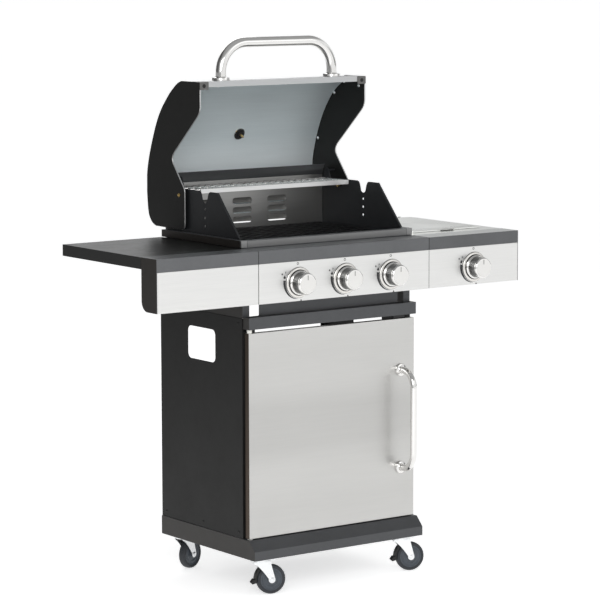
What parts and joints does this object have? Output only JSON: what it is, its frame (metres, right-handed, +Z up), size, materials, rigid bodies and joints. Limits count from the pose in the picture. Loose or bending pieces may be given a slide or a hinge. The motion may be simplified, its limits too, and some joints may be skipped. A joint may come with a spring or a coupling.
{
  "type": "gas barbecue grill",
  "caption": "Cart grill with an open hinged lid, firebox with warming rack, control knobs, side shelves with a covered side burner, cabinet with door, and swivel casters.",
  "frame": {"origin": "on the floor, in the middle of the object's footprint box with the lid open", "axes": "+Z up, -Y towards the user, +X to the right as the user sees it"},
  "size_m": [1.139, 0.5538, 1.3975],
  "materials": {
    "black_powder_coat": "satin black powder coat with a fine texture",
    "grey_satin_paint": "satin dark grey paint, slightly metallic",
    "brushed_stainless": "horizontal brushed grain",
    "galvanised_steel": "dull galvanised sheet",
    "polished_chrome": "mirror polish",
    "bright_zinc": "bright zinc plating",
    "cast_iron": "matt black enamel",
    "brass": "as machined",
    "caster_tyre": "hard grey-black rubber",
    "black_plastic": "moulded"
  },
  "bodies": {
    "cart": {"cabinet_left_panel": "black_powder_coat", "cabinet_right_panel": "black_powder_coat", "cabinet_back_panel": "black_powder_coat", "firebox_tub": "black_powder_coat", "side_plate_left": "black_powder_coat", "side_plate_right": "black_powder_coat", "left_shelf": "black_powder_coat", "right_shelf": "black_powder_coat", "base_shelf": "grey_satin_paint", "cabinet_front_rail": "grey_satin_paint", "firebox_support_left": "grey_satin_paint", "firebox_support_right": "grey_satin_paint", "rear_brace": "grey_satin_paint", "heat_shield_panel": "grey_satin_paint", "firebox_rim": "grey_satin_paint", "fascia_centre": "grey_satin_paint", "fascia_left": "grey_satin_paint", "fascia_right": "grey_satin_paint", "control_panel": "brushed_stainless", "left_front_panel": "brushed_stainless", "right_front_panel": "brushed_stainless", "burner_left": "brushed_stainless", "burner_centre": "brushed_stainless", "burner_right": "brushed_stainless", "rear_wall": "galvanised_steel", "caster_plate_front_left": "bright_zinc", "caster_plate_front_right": "bright_zinc", "caster_plate_rear_left": "bright_zinc", "caster_plate_rear_right": "bright_zinc", "cooking_grate": "cast_iron", "flame_tamer_left": "cast_iron", "flame_tamer_centre": "cast_iron", "flame_tamer_right": "cast_iron", "side_burner_trivet": "cast_iron", "gas_manifold": "brass", "side_burner": "brass"},
    "lid": {"lid_shell": "brushed_stainless", "lid_left_plate": "black_powder_coat", "lid_right_plate": "black_powder_coat", "lid_handle": "polished_chrome", "thermometer": "polished_chrome"},
    "warming_rack": {"warming_rack": "polished_chrome"},
    "door": {"door": "brushed_stainless", "door_handle": "polished_chrome"},
    "side_burner_lid": {"side_burner_lid": "brushed_stainless"},
    "grease_tray": {"grease_tray": "galvanised_steel"},
    "knob_1": {"knob_1": "polished_chrome"},
    "knob_2": {"knob_2": "polished_chrome"},
    "knob_3": {"knob_3": "polished_chrome"},
    "side_burner_knob": {"side_burner_knob": "polished_chrome"},
    "caster_front_left": {"caster_fork_front_left": "bright_zinc"},
    "wheel_front_left": {"caster_wheel_front_left": "caster_tyre"},
    "caster_front_right": {"caster_fork_front_right": "bright_zinc"},
    "wheel_front_right": {"caster_wheel_front_right": "caster_tyre"},
    "caster_rear_left": {"caster_fork_rear_left": "bright_zinc"},
    "wheel_rear_left": {"caster_wheel_rear_left": "caster_tyre"},
    "caster_rear_right": {"caster_fork_rear_right": "bright_zinc"},
    "wheel_rear_right": {"caster_wheel_rear_right": "caster_tyre"},
    "brake_front_left": {"brake_lever_front_left": "black_plastic"},
    "brake_front_right": {"brake_lever_front_right": "black_plastic"}
  },
  "joints": [
    {"name": "lid_hinge", "type": "hinge", "parent": "cart", "child": "lid", "pos_m": [0, 0.12585, 0.995], "axis": [1, 0, 0], "range_deg": [0, 88.5]},
    {"name": "rack_swing", "type": "hinge", "parent": "lid", "child": "warming_rack", "pos_m": [0, 0.15985, 1.032], "axis": [1, 0, 0], "range_deg": [-88.5, 0]},
    {"name": "door_hinge", "type": "hinge", "parent": "cart", "child": "door", "pos_m": [-0.255, -0.17515, 0.408], "axis": [0, 0, -1], "range_deg": [0, 110]},
    {"name": "side_burner_lid_hinge", "type": "hinge", "parent": "cart", "child": "side_burner_lid", "pos_m": [0.419, 0.18385, 0.886], "axis": [-1, 0, 0], "range_deg": [0, 95]},
    {"name": "knob_1_turn", "type": "hinge", "parent": "cart", "child": "knob_1", "pos_m": [-0.1465, -0.23685, 0.796], "axis": [0, -1, 0], "range_deg": [0, 180]},
    {"name": "knob_2_turn", "type": "hinge", "parent": "cart", "child": "knob_2", "pos_m": [0, -0.23685, 0.796], "axis": [0, -1, 0], "range_deg": [0, 180]},
    {"name": "knob_3_turn", "type": "hinge", "parent": "cart", "child": "knob_3", "pos_m": [0.1465, -0.23685, 0.796], "axis": [0, -1, 0], "range_deg": [0, 180]},
    {"name": "side_burner_knob_turn", "type": "hinge", "parent": "cart", "child": "side_burner_knob", "pos_m": [0.42, -0.23685, 0.796], "axis": [0, -1, 0], "range_deg": [0, 180]},
    {"name": "grease_tray_slide", "type": "slide", "parent": "cart", "child": "grease_tray", "axis": [0, 1, 0], "range_m": [0, 0.16]},
    {"name": "caster_front_left_swivel", "type": "hinge", "parent": "cart", "child": "caster_front_left", "pos_m": [-0.224, -0.17615, 0.09], "axis": [0, 0, 1], "continuous": true},
    {"name": "wheel_front_left_spin", "type": "hinge", "parent": "caster_front_left", "child": "wheel_front_left", "pos_m": [-0.19927, -0.18418, 0.038], "axis": [0.309, 0.9511, 0], "continuous": true},
    {"name": "brake_front_left_lever", "type": "hinge", "parent": "caster_front_left", "child": "brake_front_left", "pos_m": [-0.21994, -0.17747, 0.07277], "axis": [0.309, 0.9511, 0], "range_deg": [0, 20]},
    {"name": "caster_front_right_swivel", "type": "hinge", "parent": "cart", "child": "caster_front_right", "pos_m": [0.224, -0.17615, 0.09], "axis": [0, 0, 1], "continuous": true},
    {"name": "wheel_front_right_spin", "type": "hinge", "parent": "caster_front_right", "child": "wheel_front_right", "pos_m": [0.24873, -0.18418, 0.038], "axis": [0.309, 0.9511, 0], "continuous": true},
    {"name": "brake_front_right_lever", "type": "hinge", "parent": "caster_front_right", "child": "brake_front_right", "pos_m": [0.22806, -0.17747, 0.07277], "axis": [0.309, 0.9511, 0], "range_deg": [0, 20]},
    {"name": "caster_rear_left_swivel", "type": "hinge", "parent": "cart", "child": "caster_rear_left", "pos_m": [-0.224, 0.17385, 0.09], "axis": [0, 0, 1], "continuous": true},
    {"name": "wheel_rear_left_spin", "type": "hinge", "parent": "caster_rear_left", "child": "wheel_rear_left", "pos_m": [-0.19957, 0.18274, 0.038], "axis": [-0.342, 0.9397, 0], "continuous": true},
    {"name": "caster_rear_right_swivel", "type": "hinge", "parent": "cart", "child": "caster_rear_right", "pos_m": [0.224, 0.17385, 0.09], "axis": [0, 0, 1], "continuous": true},
    {"name": "wheel_rear_right_spin", "type": "hinge", "parent": "caster_rear_right", "child": "wheel_rear_right", "pos_m": [0.2453, 0.18876, 0.038], "axis": [-0.5736, 0.8192, 0], "continuous": true}
  ],
  "couplings": [
    {"joint": "rack_swing", "follows": "lid_hinge", "ratio": -1}
  ]
}
